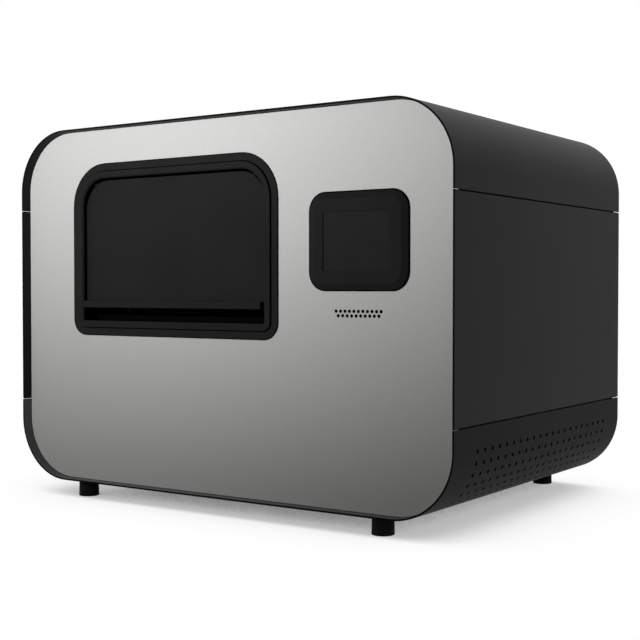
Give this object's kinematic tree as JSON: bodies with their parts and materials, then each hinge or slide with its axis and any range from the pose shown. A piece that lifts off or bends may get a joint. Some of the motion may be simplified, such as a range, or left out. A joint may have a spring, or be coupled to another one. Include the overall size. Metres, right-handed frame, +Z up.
{
  "type": "braille embosser",
  "caption": "Floor-standing office braille embosser: rounded sheet-metal case with a hinged cover, outlet flap, touch display, tractor feed and a pair of embossing cylinders.",
  "frame": {"origin": "on the floor under the middle of the case", "axes": "+Z up, +X to the right seen from the front, -Y out of the front plate"},
  "size_m": [0.75, 0.545, 0.549],
  "materials": {
    "charcoal_case": "charcoal powder coat, fine texture",
    "silver_front": "silver, satin",
    "rear_panel": "charcoal powder coat",
    "black_moulding": "black, fine texture",
    "screen": "black, gloss",
    "foot_rubber": "black, matt",
    "chassis_steel": "zinc plated",
    "frame_aluminium": "milled",
    "shaft_steel": "ground",
    "gear_brass": "machined",
    "motor_paint": "grey paint",
    "belt_rubber": "black, ribbed",
    "roller_rubber": "black, ground",
    "wheel_plastic": "natural acetal",
    "tractor_plastic": "dark grey, moulded",
    "guide_sheet": "plain sheet",
    "black_guides": "black anodised",
    "black_rod": "black oxide",
    "board_green": "solder mask",
    "port_metal": "tin plated"
  },
  "bodies": {
    "chassis": {"bottom_tray": "charcoal_case", "left_side_panel": "charcoal_case", "right_side_panel": "charcoal_case", "front_plate": "silver_front", "rear_plate": "rear_panel", "rubber_feet": "foot_rubber", "foot_screws": "shaft_steel", "base_plate": "chassis_steel", "corner_posts": "chassis_steel", "seam_rails": "charcoal_case", "plate_brackets": "chassis_steel", "cover_rests": "chassis_steel", "cover_bumpers": "foot_rubber", "hinge_fixed_leaves": "chassis_steel", "hinge_pins": "shaft_steel", "outlet_frame": "black_moulding", "flap_hinge_rod": "black_rod", "display_bezel": "black_moulding", "touch_screen": "screen", "display_clamp": "chassis_steel", "speaker": "black_moulding", "left_frame": "frame_aluminium", "right_frame": "frame_aluminium", "tie_bars": "shaft_steel", "bearings": "shaft_steel", "main_motor": "motor_paint", "main_belt": "belt_rubber", "guide_rod": "shaft_steel", "feed_motor": "motor_paint", "feed_belt": "belt_rubber", "paper_guides": "black_guides", "power_supply": "guide_sheet", "control_board": "board_green", "port_shells": "port_metal", "fan_frame": "black_moulding", "power_inlet": "black_moulding"},
    "cover": {"top_cover": "charcoal_case", "hinge_moving_leaves": "chassis_steel"},
    "flap": {"outlet_flap": "black_moulding"},
    "lower_cylinder": {"lower_cylinder": "shaft_steel", "lower_gear": "gear_brass", "cylinder_pulley": "frame_aluminium"},
    "upper_cylinder": {"upper_cylinder": "shaft_steel", "upper_gear": "gear_brass"},
    "motor_pulley": {"motor_pulley": "frame_aluminium"},
    "tractor_shaft": {"tractor_shaft": "shaft_steel", "tractor_pulley": "frame_aluminium"},
    "left_tractor": {"left_tractor": "tractor_plastic"},
    "right_tractor": {"right_tractor": "tractor_plastic"},
    "left_pin_wheel": {"left_pin_wheel": "wheel_plastic"},
    "right_pin_wheel": {"right_pin_wheel": "wheel_plastic"},
    "left_tractor_door": {"left_tractor_door": "tractor_plastic"},
    "right_tractor_door": {"right_tractor_door": "tractor_plastic"},
    "feed_pulley": {"feed_pulley": "frame_aluminium"},
    "exit_roller": {"exit_roller": "roller_rubber", "exit_pulley": "frame_aluminium"},
    "pinch_roller": {"pinch_roller": "roller_rubber"},
    "fan_rotor": {"fan_rotor": "black_moulding"},
    "power_rocker": {"power_rocker": "black_moulding"}
  },
  "joints": [
    {"name": "cover_hinge", "type": "hinge", "parent": "chassis", "child": "cover", "pos_m": [0, 0.265, 0.539], "axis": [-1, 0, 0], "range_deg": [0, 75]},
    {"name": "flap_hinge", "type": "hinge", "parent": "chassis", "child": "flap", "pos_m": [-0.08625, -0.2507, 0.4665], "axis": [-1, 0, 0], "range_deg": [0, 40]},
    {"name": "lower_cylinder_spin", "type": "hinge", "parent": "chassis", "child": "lower_cylinder", "pos_m": [-0.08625, 0, 0.2395], "axis": [1, 0, 0], "continuous": true},
    {"name": "upper_cylinder_spin", "type": "hinge", "parent": "chassis", "child": "upper_cylinder", "pos_m": [-0.08625, 0, 0.3095], "axis": [1, 0, 0], "continuous": true},
    {"name": "motor_spin", "type": "hinge", "parent": "chassis", "child": "motor_pulley", "pos_m": [-0.29725, 0.07, 0.1055], "axis": [1, 0, 0], "continuous": true},
    {"name": "tractor_shaft_spin", "type": "hinge", "parent": "chassis", "child": "tractor_shaft", "pos_m": [-0.08625, 0.112, 0.24216], "axis": [1, 0, 0], "continuous": true},
    {"name": "left_tractor_slide", "type": "slide", "parent": "chassis", "child": "left_tractor", "axis": [1, 0, 0], "range_m": [0, 0.075]},
    {"name": "right_tractor_slide", "type": "slide", "parent": "chassis", "child": "right_tractor", "axis": [-1, 0, 0], "range_m": [0, 0.075]},
    {"name": "left_pin_wheel_spin", "type": "hinge", "parent": "left_tractor", "child": "left_pin_wheel", "pos_m": [-0.2449, 0.112, 0.24216], "axis": [1, 0, 0], "continuous": true},
    {"name": "right_pin_wheel_spin", "type": "hinge", "parent": "right_tractor", "child": "right_pin_wheel", "pos_m": [0.0724, 0.112, 0.24216], "axis": [1, 0, 0], "continuous": true},
    {"name": "left_door_hinge", "type": "hinge", "parent": "left_tractor", "child": "left_tractor_door", "pos_m": [-0.2595, 0.112, 0.2768], "axis": [0, -1, 0], "range_deg": [0, 90]},
    {"name": "right_door_hinge", "type": "hinge", "parent": "right_tractor", "child": "right_tractor_door", "pos_m": [0.087, 0.112, 0.2768], "axis": [0, 1, 0], "range_deg": [0, 90]},
    {"name": "feed_motor_spin", "type": "hinge", "parent": "chassis", "child": "feed_pulley", "pos_m": [0.10975, 0.01, 0.1105], "axis": [1, 0, 0], "continuous": true},
    {"name": "exit_roller_spin", "type": "hinge", "parent": "chassis", "child": "exit_roller", "pos_m": [-0.08625, -0.1, 0.26237], "axis": [1, 0, 0], "continuous": true},
    {"name": "pinch_roller_spin", "type": "hinge", "parent": "chassis", "child": "pinch_roller", "pos_m": [-0.08625, -0.1, 0.28703], "axis": [1, 0, 0], "continuous": true},
    {"name": "fan_spin", "type": "hinge", "parent": "chassis", "child": "fan_rotor", "pos_m": [0.255, 0.2415, 0.142], "axis": [0, 1, 0], "continuous": true},
    {"name": "power_rocker_tilt", "type": "hinge", "parent": "chassis", "child": "power_rocker", "pos_m": [0.16, 0.2575, 0.1295], "axis": [-1, 0, 0], "range_deg": [0, 16]}
  ],
  "couplings": [
    {"joint": "upper_cylinder_spin", "follows": "lower_cylinder_spin", "ratio": -1},
    {"joint": "motor_spin", "follows": "lower_cylinder_spin", "ratio": 2.6667},
    {"joint": "left_pin_wheel_spin", "follows": "tractor_shaft_spin", "ratio": 1},
    {"joint": "right_pin_wheel_spin", "follows": "tractor_shaft_spin", "ratio": 1},
    {"joint": "feed_motor_spin", "follows": "tractor_shaft_spin", "ratio": 2.4},
    {"joint": "exit_roller_spin", "follows": "tractor_shaft_spin", "ratio": 2.6667},
    {"joint": "pinch_roller_spin", "follows": "tractor_shaft_spin", "ratio": -2.6667}
  ]
}
